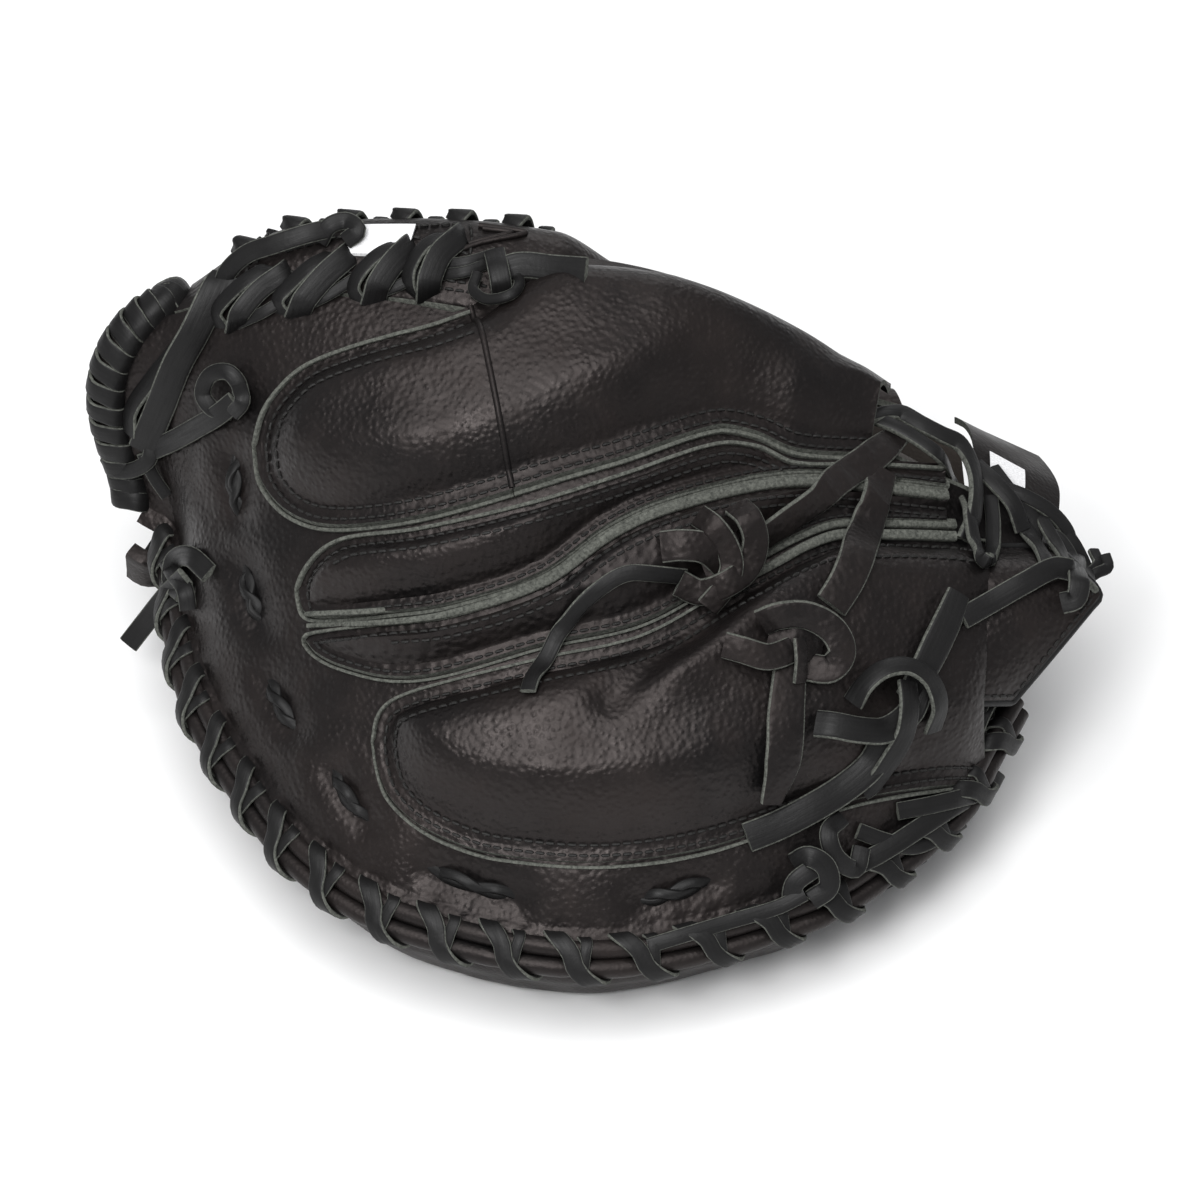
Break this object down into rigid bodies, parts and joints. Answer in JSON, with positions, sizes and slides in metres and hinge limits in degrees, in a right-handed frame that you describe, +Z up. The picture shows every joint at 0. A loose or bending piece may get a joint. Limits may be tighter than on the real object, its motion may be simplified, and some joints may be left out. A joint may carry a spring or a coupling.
{
  "type": "baseball catcher's mitt",
  "caption": "Black leather catcher's mitt for the left hand lying palm down, with covered finger stalls, a laced web, whip-laced rims, an open wrist and a deep ball pocket that folds shut",
  "frame": {"origin": "middle of the footprint, on the plane the mitt rests on", "axes": "+Z up out of the mitt's back, +X from the fingertips to the wrist, +Y from the finger half to the thumb half"},
  "size_m": [0.3135, 0.2406, 0.1565],
  "materials": {
    "leather_black": "pebbled matte",
    "lace_black": "waxed lacing leather",
    "felt_pad": "pressed felt",
    "lining": "soft lining leather",
    "label_white": "blank woven patch"
  },
  "bodies": {
    "finger_side": {"finger_back_panel": "leather_black", "finger_pad": "felt_pad", "finger_palm_leather": "leather_black", "heel_pad": "felt_pad", "palm_lining": "lining", "pocket_leather": "leather_black", "web_back_panel": "leather_black", "web_pocket_panel": "leather_black", "finger_rim_roll_inner": "leather_black", "finger_rim_roll_outer": "leather_black", "finger_rim_lace": "lace_black", "web_binding_roll": "leather_black", "web_binding_lace": "lace_black", "web_finger_lace": "lace_black", "index_stall": "leather_black", "middle_stall": "leather_black", "ring_stall": "leather_black", "pinky_stall": "leather_black", "index_hood": "leather_black", "pad_lace_stitch_1": "lace_black", "pad_lace_stitch_2": "lace_black", "pad_lace_stitch_3": "lace_black", "pad_lace_stitch_4": "lace_black", "pad_lace_stitch_5": "lace_black", "pad_lace_stitch_6": "lace_black", "pad_lace_knot_tip": "lace_black", "pad_lace_knot_heel": "lace_black", "tie_a": "lace_black", "tie_a_tail": "lace_black", "tie_b": "lace_black", "tie_c": "lace_black", "wrist_strap": "leather_black", "strap_label": "label_white", "wrist_flap": "leather_black", "opening_lace": "lace_black", "wrist_tie": "lace_black", "web_label": "label_white", "web_tie": "lace_black", "heel_roll": "leather_black"},
    "thumb_side": {"thumb_back_panel": "leather_black", "thumb_pad": "felt_pad", "thumb_palm_leather": "leather_black", "thumb_rim_roll_inner": "leather_black", "thumb_rim_roll_outer": "leather_black", "thumb_rim_lace": "lace_black", "web_thumb_lace": "lace_black", "thumb_stall": "leather_black", "thumb_lace_stitch_1": "lace_black", "thumb_lace_stitch_2": "lace_black", "thumb_loop": "lace_black"}
  },
  "joints": [
    {"name": "thumb_fold", "type": "hinge", "parent": "finger_side", "child": "thumb_side", "pos_m": [-0.124, 0.0945, 0.104], "axis": [-0.9669, 0.1171, 0.2266], "range_deg": [-3, 20]}
  ]
}
